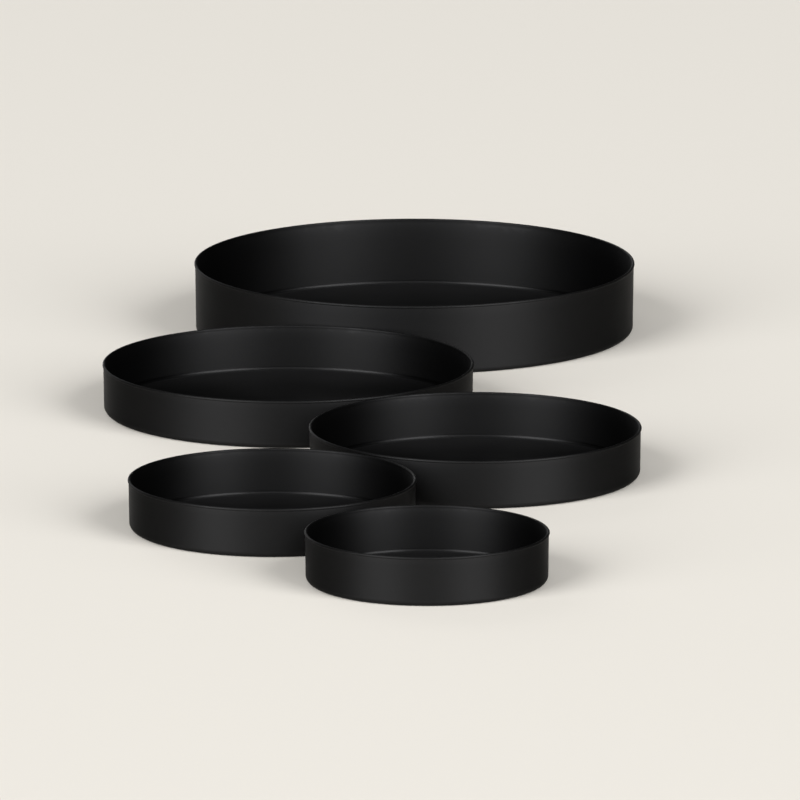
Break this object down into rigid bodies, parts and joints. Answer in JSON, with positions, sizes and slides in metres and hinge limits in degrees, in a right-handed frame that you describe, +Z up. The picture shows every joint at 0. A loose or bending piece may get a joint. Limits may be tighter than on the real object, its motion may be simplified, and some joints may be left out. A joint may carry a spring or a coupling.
{
  "type": "straight-walled pan set",
  "caption": "Graduated set of round straight-walled black pans with flat floors, rounded floor corners and beaded rims; each pan lifts away and nests inside the next larger one.",
  "frame": {"origin": "middle of the footprint of the whole set, on the surface that the pans stand on", "axes": "+Z up; +Y towards the back of the set, where the largest pan stands; +X to the right seen from the front"},
  "size_m": [0.5454, 1.539, 0.072],
  "materials": {
    "pan_sheet": "satin"
  },
  "bodies": {
    "largest_pan": {"largest_pan": "pan_sheet"},
    "large_pan": {"large_pan": "pan_sheet"},
    "medium_pan": {"medium_pan": "pan_sheet"},
    "small_pan": {"small_pan": "pan_sheet"},
    "smallest_pan": {"smallest_pan": "pan_sheet"}
  },
  "joints": [
    {"name": "large_pan_lift", "type": "slide", "parent": "largest_pan", "child": "large_pan", "axis": [0, 0, 1], "range_m": [0, 0.1]},
    {"name": "medium_pan_lift", "type": "slide", "parent": "largest_pan", "child": "medium_pan", "axis": [0, 0, 1], "range_m": [0, 0.1]},
    {"name": "small_pan_lift", "type": "slide", "parent": "largest_pan", "child": "small_pan", "axis": [0, 0, 1], "range_m": [0, 0.1]},
    {"name": "smallest_pan_lift", "type": "slide", "parent": "largest_pan", "child": "smallest_pan", "axis": [0, 0, 1], "range_m": [0, 0.1]}
  ]
}
